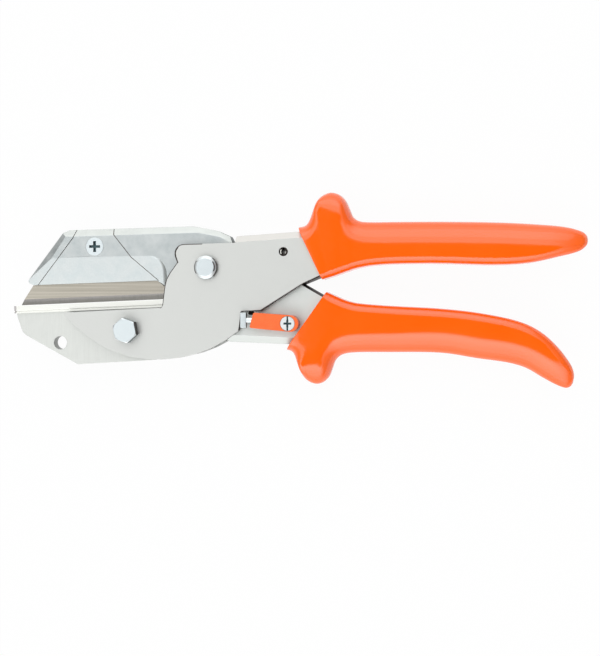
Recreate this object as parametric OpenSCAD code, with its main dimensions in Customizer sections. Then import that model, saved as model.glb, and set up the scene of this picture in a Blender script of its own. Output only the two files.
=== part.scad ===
// Anvil cutter with a straight clamped blade, lying on its back with the blade side of the pivot to the left.
// Outlines are drawn in millimetres about the pivot axis, heights from the middle plane of the tool.

/* [Frame] */
// Thickness of each cheek beside the moving arm
cheek_t = 3; // [2.6:0.1:3.4]
// Thickness of the moving blade arm
arm_t = 9; // [8.4:0.1:9.6]
// Side play between the arm and each cheek
side_play = 0.2; // [0.15:0.05:0.3]
// Width of the long edge chamfers
edge_chamfer = 3.1; // [2:0.1:3.6]

/* [Pivot] */
// Diameter of the pivot shank
pivot_d = 8; // [7:0.2:9]
// Diameter of the pivot head at the cheek
pivot_head_d = 10.4; // [10:0.1:12]
// Height of the pivot head
pivot_head_h = 3; // [2:0.1:3.5]
// Radial play of the arm's bush on the pivot and of the latch bush on its screw
running_play = 0.03; // [0.02:0.01:0.08]
// Wall of the pivot bush
bush_wall = 1.5; // [1:0.1:2]
// Thickness of the thrust washers
thrust_t = 0.5; // [0.4:0.05:0.8]

/* [Blade] */
// Thickness of the blade
blade_t = 2.2; // [1.8:0.1:2.6]
// Height of the ground edge bevel
edge_bevel_h = 2.6; // [2:0.1:3.2]
// Clearance between the closed edge and the anvil
edge_gap = 0.3; // [0.2:0.05:0.6]
// Seam between the clamp and the jaw around it
clamp_seam = 0.15; // [0.1:0.05:0.3]
// Diameter of the clamp screw's head
clamp_head_d = 8.2; // [7.6:0.1:8.6]

/* [Anvil] */
// Thickness of the anvil carrier plate
carrier_t = 5; // [4:0.2:6]
// Width of the anvil strip across the tool
strip_w = 8; // [7.4:0.1:8.6]
// Height of the anvil strip
strip_h = 3.4; // [3:0.1:3.4]
// Diameter of the hole in the carrier
hole_d = 6.2; // [4:0.1:7]

/* [Fasteners] */
// Thread diameter of the anvil bolt and of both rear nuts
bolt_d = 6; // [5.4:0.1:6]
// Width across flats of the hexagons
hex_af = 10; // [9.5:0.1:10.5]
// Height of the hexagon bolt head
hex_head_h = 4; // [3:0.1:4.5]
// Height of the rear nuts
nut_h = 3.2; // [2.6:0.1:4]
// Clearance of the bolt in its through holes
bolt_play = 0.1; // [0.05:0.05:0.2]

/* [Return spring] */
// Diameter of the spring pin
pin_d = 4; // [3.6:0.1:4.2]
// Wire diameter of the spring
wire_d = 1.3; // [1.1:0.05:1.4]
// Mean diameter of the coil
coil_d = 7.2; // [6.8:0.1:7.4]
// Number of full turns
coil_turns = 4; // [3:1:4]

/* [Latch] */
// Height of the lever above the arm
lever_h = 6.4; // [6:0.1:7]
// Radius of the lever's round end
lever_r = 3.65; // [3.6:0.05:3.8]
// Gap between the raised tip of the lever and the front cheek
tip_gap = 0.3; // [0.3:0.05:0.6]
// Diameter of the latch screw's head
latch_head_d = 6.3; // [6:0.1:6.4]

/* [Grips] */
// Depth of the grips from front to back
grip_depth = 18; // [17.4:0.1:20]
// Height of the upper finger guard's tip above the pivot axis
guard_top = 33.17; // [32.4:0.01:34]
// Height of the upper grip's straight outer side above the pivot axis
outer_y = 19.9; // [19.6:0.1:20.2]
// Breadth of the sloping outer side of the upper grip
outer_slope = 10; // [8:0.2:11]
// Breadth of the sloping outer side of the lower grip
low_slope = 14; // [12:0.2:14.4]
// Rounding of the inner side of the grips
inner_round = 3.7; // [3:0.1:4.2]

/* [Hidden] */
$fn = 64;
eps = 0.01;

// Heights from the middle plane
arm_z = arm_t / 2;
slot_z = arm_z + side_play;
cheek_z = slot_z + cheek_t;
rear_washer_t = 0.8;
lowest_z = -cheek_z - rear_washer_t - nut_h;

// Places about the pivot
anvil_bolt_at = [-36.6, -28.1];
hole_at = [-69.7, -34.1];
pin_at = [34.6, 6.8];
clamp_screw_at = [-52.5, 9.8];
latch_at = [36.8, -24.8];
hex_turn = 11;

// The anvil's face is a straight line that rises a little towards the pivot
anvil_slope = 0.042;
anvil_left = -91.2;
anvil_right = -19.9;
function anvil_y(x) = -13.5 + anvil_slope * x;
// The underside of the anvil strip, on top of its carrier
function under_y(x) = anvil_y(x) - strip_h * norm([1, anvil_slope]);
// The closed cutting edge
function edge_y(x) = anvil_y(x) + edge_gap;
// The lower edge of the jaw, where the blade comes out of it
function jaw_y(x) = -4.9 + 0.033 * x;

// Points of the arm's back edge, from the tail to the lower grip
tail = [11.2, 10.9];
back_slope = -0.573;
function back_y(x) = tail[1] + back_slope * (x - tail[0]);

// Outlines: each corner is x, y and its radius
cheek_corners = [[-67, -20.3, 0.8], [-20.3, -17.9, 1.4], [-18.6, -5, 13], [-13.3, 2.2, 0.5],
    [-16.2, 10.3, 4.2], [12.9, 10.8, 0.4], [13.2, 13.9, 0.6], [47, 16.1, 1], [53.6, -3.1, 1],
    [43.2, -7.4, 2], [24, -19.5, 0.8], [15.4, -19.6, 0.5], [14.7, -27.9, 1.5], [-0.5, -40.2, 56],
    [-44, -42.3, 54]];
upper_tang_corners = [[38, 14, 1], [104, 15, 60], [148, 14, 2], [152, 9, 2], [104, 5.5, 60], [46, 4, 1]];
arm_corners = [[-82.6, jaw_y(-82.6), 0], [-84.5, -6.9, 0.3], [-85, -5.6, 0.3], [-67.8, 16.1, 0.5],
    [-65, 17.45, 1], [-7, 18.7, 14], [4.2, 16.5, 8], [9.9, 13.9, 0.6], [tail[0], tail[1], 0.5],
    [56, back_y(56), 5], [104, -22.6, 40], [128, -27, 25], [142, -36, 2], [138, -40, 2], [124, -36, 25],
    [104, -34, 30], [50, -34.7, 20], [9, -33.2, 1.2], [6, -26, 6], [-8.5, -12.6, 8], [-19.5, -8.7, 3],
    [-24, jaw_y(-24), 0.5]];
carrier_corners = [[-90.4, under_y(-90.4), 0], [-90.2, -22.5, 2], [-87.5, -30, 5], [-61.5, -44, 2.5],
    [-24, -41.6, 1], [-24, under_y(-24), 0]];
clamp_left = [[-61, 19.5], [-62.7, 14], [-70.2, 4.4], [-80.6, jaw_y(-80.6)]];
clamp_right = [[-23.2, jaw_y(-23.2)], [-35.3, 4.9], [-43.5, 15.2], [-44, 19.5]];

// Sloping lower part of the jaw: where its upper rim turns down beside the cheek, and the round of that turn
bevel_top = 5.5;
rim_turn = 1.15;
scoop_x = -29.2;
scoop_r = 7.3;
scoop_fillet = 3;

// Where the middle layer of the frame joins its two cheeks
core_region = [[10, 30], [70, 30], [70, back_y(70) + 0.9], [tail[0], tail[1] + 0.9]];
web_region = [[-27, -50], [-27, -18.6], [-19.6, -18.2], [-17, -17.2], [-8.4, -25.5], [-9.4, -33.5],
    [-9.4, -50]];
pocket_r = 18.2;

function xy(p) = [p[0], p[1]];
function unit(v) = v / norm(v);

// Points of one rounded corner b between its neighbours a and c
function corner_arc(a, b, c, r) =
    let (u = unit(a - b), v = unit(c - b), half = acos(u * v) / 2)
    let (centre = b + unit(u + v) * r / sin(half), from = b + u * r / tan(half) - centre)
    let (to = b + v * r / tan(half) - centre, start = atan2(from[1], from[0]))
    let (sweep = (atan2(to[1], to[0]) - start + 540) % 360 - 180, steps = max(2, ceil(abs(sweep) / 8)))
    [for (k = [0:steps]) centre + r * [cos(start + sweep * k / steps), sin(start + sweep * k / steps)]];

// Points of an outline with all its corners rounded
function rounded(p) = let (n = len(p))
    [for (i = [0:n - 1]) each p[i][2] <= 0 ? [xy(p[i])]
        : corner_arc(xy(p[(i + n - 1) % n]), xy(p[i]), xy(p[(i + 1) % n]), p[i][2])];

// Smooth curve through a list of vectors
function curve(p, s) =
    let (i = min(floor(s), len(p) - 2), t = s - i, b = p[i], c = p[i + 1])
    let (a = p[max(i - 1, 0)], d = p[min(i + 2, len(p) - 1)])
    0.5 * (2 * b + (c - a) * t + (2 * a - 5 * b + 4 * c - d) * t * t + (3 * b - a - 3 * c + d) * t * t * t);

// Grips: each station is the outer point, the inner point, the shares of the depth and of the inner rounding,
// and the breadth of the outer slope; the first ones go round the finger guard
upper_stations = [[40.6, 17.9, 51.7, -5.5, 1.03, 0.8, 6], [44.2, 19, 52.9, -5.1, 1.03, 0.85, 4.5],
    [46.9, 24.1, 54.2, -4.7, 1.02, 0.9, 1.4], [49, 29.3, 55.5, -4.3, 1.02, 0.95, 2],
    [51.7, 32, 56.9, -3.9, 1.02, 1, 5], [55.2, guard_top, 58.3, -3.4, 1.02, 1, 7.5],
    [58.9, 32.1, 59.8, -2.9, 1.01, 1, 6.5], [61.7, 29.4, 61.4, -2.3, 1.01, 1, 4.5],
    [63.5, 25.6, 63.2, -1.7, 1.01, 1, 4.5], [65.1, 22.1, 65.2, -1, 1, 1, 6.5],
    [68.2, 20.3, 68.4, -0.2, 1, 1, 9], [74, outer_y, 74, 0.7, 1, 1, outer_slope],
    [84, outer_y, 84, 1.3, 1, 1, outer_slope],
    [103, 19.8, 103, 1.4, 1, 1, outer_slope], [126.6, 19.3, 126, 0.7, 1, 1, outer_slope],
    [144, 18.3, 141, 1.5, 0.96, 1, outer_slope], [156, 17.1, 153, 4, 0.84, 1, outer_slope],
    [163, 15.2, 161.5, 6.2, 0.6, 1, outer_slope], [165.4, 13.4, 165, 8.6, 0.34, 1, outer_slope],
    [166, 12, 165.9, 10.4, 0.1, 1, outer_slope]];
lower_stations = [[35.3, -36.8, 53.6, -10.9, 1, 0.8, 6], [38, -37.9, 54.3, -11.3, 1, 0.85, 4.5],
    [39.9, -41.7, 55, -11.6, 1, 0.9, 1.4], [41.9, -47, 55.7, -11.9, 1, 0.95, 2.5],
    [44.4, -50.4, 56.4, -12.2, 1, 1, 9.5], [48.1, -52, 57.2, -12.6, 1, 1, 14],
    [51.6, -51.2, 58.1, -13, 1, 1, 12], [54.4, -48.5, 59.1, -13.4, 1, 1, 8.5],
    [55.9, -44.7, 60.2, -13.9, 1, 1, 8], [57.3, -41.2, 61.5, -14.4, 1, 1, 9.5],
    [60.2, -38.8, 64, -15.2, 1, 1, 11], [66, -37.8, 69, -16.1, 1, 1, low_slope - 2],
    [80, -37.6, 82.5, -17.1, 1, 1, low_slope - 1.5],
    [103, -37.7, 103, -18.2, 1, 1, low_slope], [119, -40, 120, -20.1, 1, 1, low_slope],
    [131.7, -41.7, 136.2, -23.5, 1, 1, low_slope], [140, -44, 146, -28.2, 0.97, 1, low_slope],
    [147, -48, 153.5, -35, 0.84, 1, low_slope], [153, -51.2, 158.8, -42, 0.6, 1, low_slope],
    [157.2, -52.6, 160.5, -46.6, 0.34, 1, low_slope], [159.3, -51.8, 160.2, -50, 0.1, 1, low_slope]];
guard_stations = 11;
// Largest share of a grip's breadth that its outer slope takes
slope_end = 0.72;

// Rings of a grip, closer together round the guard
function grip_rings(p) =
    [for (s = concat([for (k = [0:4 * guard_stations - 1]) k / 4],
        [for (k = [0:(len(p) - 1 - guard_stations) * 5]) guard_stations + k / 5])) curve(p, s)];
upper_rings = grip_rings(upper_stations);
lower_rings = grip_rings(lower_stations);

// Distance of a point from the straight piece between a and b
function off_piece(p, a, b) = let (w = b - a, t = max(0, min(1, (p - a) * w / (w * w)))) norm(p - a - t * w);

// How far up the outer slope a point near ring i lies: 0 at the outline and 1 on the flat front
function slope_share(p, rings, i) =
    min([for (j = [max(0, i - 26):min(len(rings) - 2, i + 26)])
        let (q = rings[j], breadth = min(q[6], slope_end * norm([q[2] - q[0], q[3] - q[1]])))
        off_piece(p, xy(q), xy(rings[j + 1])) / breadth]);

// One cross section of a grip: the outer slope, a flat front, a round and an upright inner side
function grip_section(rings, i) =
    let (q = rings[i], o = xy(q), n = [q[2], q[3]], h = norm(n - o), dir = unit(n - o))
    let (d = q[4] * grip_depth / 2, b = min(q[5] * inner_round, 0.3 * h), e = min(b, 0.9 * d))
    let (slope = [for (k = [0:12]) let (t = slope_end * h * (1 - cos(7.5 * k)))
        [t, d * pow(sin(acos(1 - min(1, slope_share(o + t * dir, rings, i)))), 0.9)]])
    let (front = concat(slope, [for (k = [0:6]) [h - b * (1 - sin(k * 15)), d - e * (1 - cos(k * 15))]]))
    let (rear = [for (k = [len(front) - 1:-1:1]) [front[k][0], -front[k][1]]])
    [for (t = concat(front, rear)) [o[0] + dir[0] * t[0], o[1] + dir[1] * t[0], t[1]]];

// The frame's origin: middle of the length and the breadth, on the surface that the tool lies on
right_end = max([for (q = upper_rings) max(q[0], q[2])]);
top_end = max([for (q = upper_rings) q[1]]);
bottom_end = min([for (q = lower_rings) q[1]]);
origin = [(anvil_left + right_end) / 2, (top_end + bottom_end) / 2, lowest_z];

module placed() { translate(-origin) children(); }

module slab(corners, z0, z1) { translate([0, 0, z0]) linear_extrude(z1 - z0) polygon(rounded(corners)); }

module area(points, z0, z1) { translate([0, 0, z0]) linear_extrude(z1 - z0) polygon(points); }

module post(at, r, z0, z1) { translate([at[0], at[1], z0]) cylinder(r = r, h = z1 - z0); }

// Wedge that chamfers the front edge from p to q and past both ends, with the solid on the right of that way
module edge_cut(p, q, w, d, z, reach) {
    way = q - p;
    translate([p[0], p[1], z]) rotate(atan2(way[1], way[0])) translate([-reach, 0, 0]) rotate([90, 0, 90])
        linear_extrude(norm(way) + 2 * reach) polygon([[-w, 0], [w, -2 * d], [w, 1], [-w, 1]]);
}

// Both faces of a chamfered edge
module both_edge_cuts(p, q, w, d, z, reach = 20) {
    edge_cut(p, q, w, d, z, reach);
    mirror([0, 0, 1]) edge_cut(p, q, w, d, z, reach);
}

module hexagon(at, af, z0, z1) {
    translate([at[0], at[1], z0]) rotate(hex_turn + 30) cylinder(d = af / cos(30), h = z1 - z0, $fn = 6);
}

// Hexagon whose corners are turned down at the outer end
module turned_hexagon(at, af, z0, z1, up) {
    drop = af * 0.1;
    intersection() {
        hexagon(at, af, z0, z1);
        translate([at[0], at[1], up ? z0 : z1]) mirror([0, 0, up ? 0 : 1]) union() {
            cylinder(d = af * 1.3, h = z1 - z0 - drop);
            translate([0, 0, z1 - z0 - drop]) cylinder(d1 = af * 1.3, d2 = af * 1.02, h = drop);
        }
    }
}

// Carrier plate, also the shape of the slot that holds it
module carrier_solid() { slab(carrier_corners, -carrier_t / 2, carrier_t / 2); }

module frame_head() {
    difference() {
        slab(cheek_corners, -cheek_z, cheek_z);
        both_edge_cuts([11, 13.78], [48, 16.2], edge_chamfer - 0.2, edge_chamfer, cheek_z, 0);
    }
}

// Parts of the middle layer that are solid
module frame_core() {
    difference() {
        union() {
            area(core_region, -slot_z - eps, slot_z + eps);
            area(web_region, -slot_z - eps, slot_z + eps);
        }
        cylinder(r = pocket_r, h = 4 * cheek_z, center = true);
    }
}

module spring_pocket() {
    roof = pin_at[1] + coil_d / 2 + wire_d / 2;
    area([[12, 12], [pin_at[0], roof], [46, roof], [46, roof - 3], [40, roof - 3], [40, back_y(40)],
        [16, back_y(16)]], 0.3 - slot_z, slot_z - 0.3);
}

module frame_tang() { slab(upper_tang_corners, -arm_z, arm_z); }

module anvil_frame() {
    color("#d7dad6") placed() difference() {
        union() {
            difference() {
                frame_head();
                area([[-25, -60], [60, -60], [60, 40], [-25, 40]], -slot_z, slot_z);
            }
            intersection() {
                frame_head();
                frame_core();
            }
            frame_tang();
        }
        carrier_solid();
        spring_pocket();
        cylinder(r = pivot_d / 2, h = 4 * cheek_z, center = true);
        post(anvil_bolt_at, bolt_d / 2 + bolt_play, -20, 20);
        post(pin_at, pin_d / 2, -20, 20);
    }
}

module grip_solid(rings) {
    sections = [for (i = [0:len(rings) - 1]) grip_section(rings, i)];
    n = len(sections[0]);
    m = len(sections);
    points = [for (s = sections) each s];
    sides = [for (i = [0:m - 2]) for (k = [0:n - 1]) each
        let (a = i * n + k, b = i * n + (k + 1) % n) [[a, b, b + n], [a, b + n, a + n]]];
    caps = [[for (k = [n - 1:-1:0]) k], [for (k = [0:n - 1]) (m - 1) * n + k]];
    polyhedron(points = points, faces = concat(sides, caps), convexity = 6);
}

module upper_grip() {
    color("#ff6a0a") placed() difference() {
        grip_solid(upper_rings);
        frame_head();
        frame_tang();
    }
}

module anvil_carrier() {
    color("#e0e2de") placed() difference() {
        carrier_solid();
        post(hole_at, hole_d / 2, -20, 20);
        post(anvil_bolt_at, bolt_d / 2 + bolt_play, -20, 20);
    }
}

module anvil_strip() {
    w = strip_w / 2;
    lean = atan(anvil_slope);
    band = 0.66 * strip_h;
    groove = 0.14 * strip_h;
    color("#f0f1ef") placed() translate([anvil_left, anvil_y(anvil_left), 0]) rotate(lean)
        rotate([90, 0, 90]) linear_extrude((anvil_right - anvil_left) / cos(lean))
            polygon([[0, w], [-band, w], [-band, w - 0.6], [-band - groove, w - 0.6], [-band - groove, w],
                [-strip_h, w], [-strip_h, -w], [-band - groove, -w], [-band - groove, 0.6 - w],
                [-band, 0.6 - w], [-band, -w], [0, -w]]);
}

module anvil_bolt() {
    color("#dfe4e6") placed() {
        turned_hexagon(anvil_bolt_at, hex_af, cheek_z, cheek_z + hex_head_h, true);
        post(anvil_bolt_at, bolt_d / 2, lowest_z + 0.4, cheek_z + eps);
    }
}

module anvil_nut() {
    color("#dfe4e6") placed() difference() {
        turned_hexagon(anvil_bolt_at, hex_af, lowest_z, -cheek_z, false);
        post(anvil_bolt_at, bolt_d / 2, -20, 20);
    }
}

module pivot_bolt() {
    rim = 1.2;
    color("#dfe4e6") placed() {
        translate([0, 0, cheek_z]) cylinder(d = pivot_head_d, h = pivot_head_h - rim);
        translate([0, 0, cheek_z + pivot_head_h - rim])
            cylinder(d1 = pivot_head_d, d2 = pivot_head_d - 2 * rim, h = rim);
        post([0, 0], pivot_d / 2, -cheek_z, cheek_z + eps);
        post([0, 0], bolt_d / 2, lowest_z + 0.4, -cheek_z + eps);
    }
}

module pivot_washer() {
    color("#c9ced0") placed() difference() {
        post([0, 0], hex_af * 0.6, -cheek_z - rear_washer_t, -cheek_z);
        post([0, 0], bolt_d / 2 + bolt_play, -20, 20);
    }
}

module pivot_nut() {
    color("#dfe4e6") placed() difference() {
        turned_hexagon([0, 0], hex_af, lowest_z, -cheek_z - rear_washer_t, false);
        post([0, 0], bolt_d / 2, -20, 20);
    }
}

module spring_pin() {
    long_z = cheek_z - 0.5;
    color("#8a8d8f") placed() difference() {
        post(pin_at, pin_d / 2, -long_z, long_z);
        post(pin_at, pin_d * 0.28, -20, 20);
        translate([pin_at[0] - 0.35, pin_at[1], -20]) cube([0.7, pin_d, 40]);
    }
}

// Route of the spring wire: a leg under the roof, the coil round the pin and a leg on the arm's back edge
leg_foot = [19.5, back_y(19.5) + wire_d / 2 / cos(atan(back_slope))];
coil_r = coil_d / 2;
coil_step = (2 * slot_z - 1 - wire_d) / coil_turns;
leg_turn = atan2(leg_foot[1] - pin_at[1], leg_foot[0] - pin_at[0]) + acos(coil_r / norm(leg_foot - pin_at));
coil_end = 90 - 360 * coil_turns - (450 - leg_turn) % 360;
coil_points = 12 * coil_turns + 6;
function coil_point(k) = let (turn = 90 + (coil_end - 90) * k / coil_points, z0 = coil_step * coil_turns / 2)
    [pin_at[0] + coil_r * cos(turn), pin_at[1] + coil_r * sin(turn), z0 - 2 * z0 * k / coil_points];
wire_route = concat([[pin_at[0] + 11, pin_at[1] + coil_r, coil_step * coil_turns / 2]],
    [for (k = [0:coil_points]) coil_point(k)], [[leg_foot[0], leg_foot[1], -coil_step * coil_turns / 2]]);
wire_gap = coil_step - wire_d;
echo(wire_gap = wire_gap);

// Six-sided tube along a route
module wire(route, d) {
    m = len(route);
    n = 6;
    ways = [for (i = [0:m - 1]) unit(route[min(i + 1, m - 1)] - route[max(i - 1, 0)])];
    points = [for (i = [0:m - 1]) let (u = unit(cross(ways[i], [0, 0, 1])), v = cross(u, ways[i]))
        for (k = [0:n - 1]) route[i] + d / 2 * (u * cos(k * 60) + v * sin(k * 60))];
    sides = [for (i = [0:m - 2]) for (k = [0:n - 1]) each
        let (a = i * n + k, b = i * n + (k + 1) % n) [[a, b + n, b], [a, a + n, b + n]]];
    caps = [[for (k = [0:n - 1]) k], [for (k = [n - 1:-1:0]) (m - 1) * n + k]];
    polyhedron(points = points, faces = concat(sides, caps), convexity = 10);
}

module return_spring() { color("#b9bcbd") placed() wire(wire_route, wire_d); }

// Region of the jaw whose faces slope down to the blade, with a round run-out beside the cheek
module jaw_bevel(z_low) {
    tilt = atan((arm_z - z_low) / (bevel_top - jaw_y(scoop_x)));
    wall = concat([for (k = [0:6]) [scoop_r + scoop_fillet * sin(15 * k), scoop_fillet * (1 - cos(15 * k))]],
        [[scoop_r + scoop_fillet, 12], [0, 12], [0, 0]]);
    translate([scoop_x, bevel_top, arm_z]) rotate([tilt, 0, rim_turn]) translate([0, 0.15 - scoop_r, 0]) {
        rotate_extrude() polygon(wall);
        rotate([90, 0, 0]) linear_extrude(30) polygon(wall);
        translate([-90, -30, 0]) cube([90, 40, 12]);
    }
}

// The arm's outer form, before the blade's seat and the holes are cut
module arm_solid() {
    difference() {
        slab(arm_corners, -arm_z, arm_z);
        both_edge_cuts([-69.7, 17.35], [-7, 18.7], edge_chamfer, 2.2, arm_z);
        both_edge_cuts([-7, 18.7], [4.2, 16.5], edge_chamfer - 0.6, 1.8, arm_z);
        both_edge_cuts([4.2, 16.5], [9.9, 13.9], edge_chamfer - 1, 1.5, arm_z);
        both_edge_cuts([50, -34.7], [9, -33.2], edge_chamfer, 2.2, arm_z);
        edge_cut(tail, [53, back_y(53)], 0.7, 3.4, arm_z, 0);
        jaw_bevel(2);
        mirror([0, 0, 1]) jaw_bevel(3);
        jaw_end_cut();
        mirror([0, 0, 1]) jaw_end_cut();
    }
}

// Broad chamfer on the front of the jaw's end
module jaw_end_cut() {
    translate([-69.7, 9.25, arm_z]) rotate(55.3) rotate([-27.2, 0, 0]) translate([-60, -40, 0])
        cube([120, 80, 40]);
}

module blade_arm() {
    recess = thrust_t - side_play / 2;
    color("#cdd2d4") placed() difference() {
        arm_solid();
        area(concat(clamp_left, clamp_right), blade_t / 2, 20);
        area(blade_tongue(0), -blade_t / 2, 20);
        post([0, 0], pivot_d / 2 + running_play + bush_wall, -20, 20);
        post([0, 0], pivot_d / 2 + 5, arm_z - recess, 20);
        post([0, 0], pivot_d / 2 + 5, -20, recess - arm_z);
        post(clamp_screw_at, 2, -arm_z + 0.6, 20);
        post(latch_at, 2, -arm_z + 1, 20);
    }
}

// The part of the blade inside the jaw
function blade_tongue(inset) = [clamp_left[3] + [inset, -1], clamp_left[2] + [inset, 0],
    [-64 + inset, 12.2 - inset], [-41.2 - inset, 12.2 - inset],
    clamp_right[1] - [inset, 0], clamp_right[0] - [inset, 1]];

module blade() {
    left_low = -89.2;
    left_top = -83;
    right = -17;
    gap = 0.1;
    half = blade_t / 2;
    lean = atan(anvil_slope);
    color("#b7b2a5") placed() difference() {
        union() {
            area([[left_top, jaw_y(left_top) - gap], [left_low, edge_y(left_low)], [right, edge_y(right)],
                [right, -10.3], [-19.8, -9.2], [-24, jaw_y(-24) - gap]], -half, half);
            area(blade_tongue(clamp_seam), -half, half);
        }
        for (side = [0, 1]) mirror([0, 0, side])
            translate([left_low, edge_y(left_low), 0]) rotate(lean) translate([-20, 0, 0]) rotate([90, 0, 90])
                linear_extrude(120) polygon([[-1, 0.1], [0, 0.1], [edge_bevel_h, half],
                    [edge_bevel_h, half + 1], [-1, half + 1]]);
        post(clamp_screw_at, 2.1, -20, 20);
    }
}

module blade_clamp() {
    inner = concat([for (p = clamp_left) p + [clamp_seam, 0]], [for (p = clamp_right) p - [clamp_seam, 0]]);
    color("#d3d8da") placed() difference() {
        intersection() {
            arm_solid();
            area(inner, blade_t / 2, 20);
        }
        post(clamp_screw_at, 2.1, -20, 20);
        translate([clamp_screw_at[0], clamp_screw_at[1], arm_z - clamp_head_d / 2 + 2])
            cylinder(r1 = 2, r2 = clamp_head_d / 2 + 1, h = clamp_head_d / 2 - 1);
    }
}

module cross_recess(at, span, w, z0, z1) {
    for (turn = [0, 90]) translate([at[0], at[1], z0]) rotate(turn) translate([-span / 2, -w / 2, 0])
        cube([span, w, z1 - z0]);
}

module clamp_screw() {
    head_r = clamp_head_d / 2;
    color("#e3e7e8") placed() difference() {
        union() {
            translate([clamp_screw_at[0], clamp_screw_at[1], arm_z - head_r + 2])
                cylinder(r1 = 2, r2 = head_r, h = head_r - 2);
            post(clamp_screw_at, 2, -arm_z + 0.8, arm_z - head_r + 2 + eps);
        }
        cross_recess(clamp_screw_at, 5, 1.2, arm_z - 1.2, 20);
    }
}

module pivot_bush() {
    color("#c8a55a") placed() difference() {
        post([0, 0], pivot_d / 2 + running_play + bush_wall, -arm_z + 0.5, arm_z - 0.5);
        post([0, 0], pivot_d / 2 + running_play, -20, 20);
    }
}

module thrust_washers() {
    recess = thrust_t - side_play / 2;
    color("#c8a55a") placed() for (side = [0, 1]) mirror([0, 0, side]) difference() {
        post([0, 0], pivot_d / 2 + 4.8, arm_z - recess, arm_z - recess + thrust_t);
        post([0, 0], pivot_d / 2 + 0.3, -20, 20);
    }
}

module lower_grip() {
    color("#ff6a0a") placed() difference() {
        grip_solid(lower_rings);
        arm_solid();
    }
}

// Latch heights: washer, lever, and the raised underside of its tip
washer_t = 0.4;
lever_low = arm_z + washer_t + 0.1;
lever_top = arm_z + lever_h;
tip_low = cheek_z + tip_gap;
head_low = lever_top - 2.4;
stud_z = (tip_low + lever_top) / 2;
stud_y = -23.4;
stud_r = 3.5;
lever_left = 20.4;
lever_end = latch_at + [1.2, 0];

module latch_screw() {
    color("#e3e7e8") placed() difference() {
        union() {
            post(latch_at, latch_head_d / 2, head_low + 0.1, lever_top - 0.2);
            post(latch_at, 2, -arm_z + 1.2, head_low + 0.2);
        }
        cross_recess(latch_at, 3.4, 0.9, lever_top - 1.6, 20);
        translate([latch_at[0] - 0.35, latch_at[1] - 5, lever_top - 0.9]) cube([0.7, 10, 5]);
    }
}

module latch_washer() {
    color("#c9ced0") placed() difference() {
        post(latch_at, 3.6, arm_z, arm_z + washer_t);
        post(latch_at, 2.1, -20, 20);
    }
}

module latch_lever() {
    corners = [[lever_left + 1.3, -20, 0.8], [lever_end[0], lever_end[1] + lever_r, 0],
        [lever_end[0], lever_end[1] - lever_r, 0], [lever_left - 0.5, -26.8, 0.8]];
    color("#fc763c") placed() difference() {
        union() {
            slab(corners, tip_low, lever_top);
            intersection() {
                slab(corners, lever_low, tip_low + eps);
                area([[28, 0], [60, 0], [60, -50], [28, -50]], 0, 20);
            }
            post(lever_end, lever_r, lever_low, lever_top);
        }
        post(latch_at, 2.8, -20, 20);
        post(latch_at, latch_head_d / 2 + 0.1, head_low, 20);
        translate([lever_left - 5, stud_y, stud_z]) rotate([0, 90, 0]) cylinder(r = 1.2, h = 11);
    }
}

module latch_stud() {
    color("#e6eaec") placed() intersection() {
        union() {
            translate([15.9, stud_y, stud_z]) rotate([0, 90, 0]) cylinder(r = stud_r, h = 2.5);
            translate([16, stud_y, stud_z]) rotate([0, 90, 0]) cylinder(r = 1.2, h = lever_left + 5.4 - 16);
        }
        translate([0, -40, tip_low]) cube([40, 40, lever_top - tip_low]);
    }
}

module latch_bush() {
    color("#c8a55a") placed() difference() {
        post(latch_at, 2.8, lever_low, head_low);
        post(latch_at, 2 + running_play, -20, 20);
    }
}

anvil_frame();
upper_grip();
anvil_carrier();
anvil_strip();
anvil_bolt();
anvil_nut();
pivot_bolt();
pivot_washer();
pivot_nut();
spring_pin();
return_spring();
blade_arm();
pivot_bush();
thrust_washers();
blade();
blade_clamp();
clamp_screw();
lower_grip();
latch_screw();
latch_washer();
latch_lever();
latch_stud();
latch_bush();
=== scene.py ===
"""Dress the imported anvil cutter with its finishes, soft edges, studio and camera.

Lengths are metres in the part's own frame, unless a name or a docstring says otherwise.
"""

import logging
import math
from dataclasses import dataclass, field, replace
from enum import Enum

import bpy
from mathutils import Matrix, Vector


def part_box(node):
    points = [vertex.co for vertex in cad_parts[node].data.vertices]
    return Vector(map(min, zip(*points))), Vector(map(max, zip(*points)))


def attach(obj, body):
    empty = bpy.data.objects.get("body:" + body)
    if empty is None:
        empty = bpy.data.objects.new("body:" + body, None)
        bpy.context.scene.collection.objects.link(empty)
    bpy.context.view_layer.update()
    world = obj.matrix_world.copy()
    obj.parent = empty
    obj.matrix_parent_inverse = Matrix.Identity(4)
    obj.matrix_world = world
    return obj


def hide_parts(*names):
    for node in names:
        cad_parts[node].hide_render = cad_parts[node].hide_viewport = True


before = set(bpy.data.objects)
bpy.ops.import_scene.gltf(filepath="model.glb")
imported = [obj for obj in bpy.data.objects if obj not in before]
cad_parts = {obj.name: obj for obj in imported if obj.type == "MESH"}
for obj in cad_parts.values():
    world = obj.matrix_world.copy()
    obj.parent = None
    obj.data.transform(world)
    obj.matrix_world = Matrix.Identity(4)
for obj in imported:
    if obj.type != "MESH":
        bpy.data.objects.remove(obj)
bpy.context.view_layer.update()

LOG = logging.getLogger("anvil_cutter")
MM = 0.001
Colour = tuple[float, float, float]
Span = tuple[float, float]
Four = tuple[float, float, float, float]
Line = tuple[Span, ...]
Socket = bpy.types.NodeSocket

WHITE = (1.0, 1.0, 1.0, 1.0)
EVEN = (1.0, 1.0, 1.0)
# The part of a noise's range that holds most of its values
NOISE_MIDDLE: Span = (0.3, 0.7)
# How far a surface faces up where a side wall turns to a slope, where a slope turns to a flat, and on a true flat;
# the first two levels bound the painted shade on side walls and the painted light on slopes
WALL_TO_SLOPE: Span = (0.15, 0.55)
SLOPE_TO_FLAT: Span = (0.8, 0.93)
TRUE_FLAT = 0.9995
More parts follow.
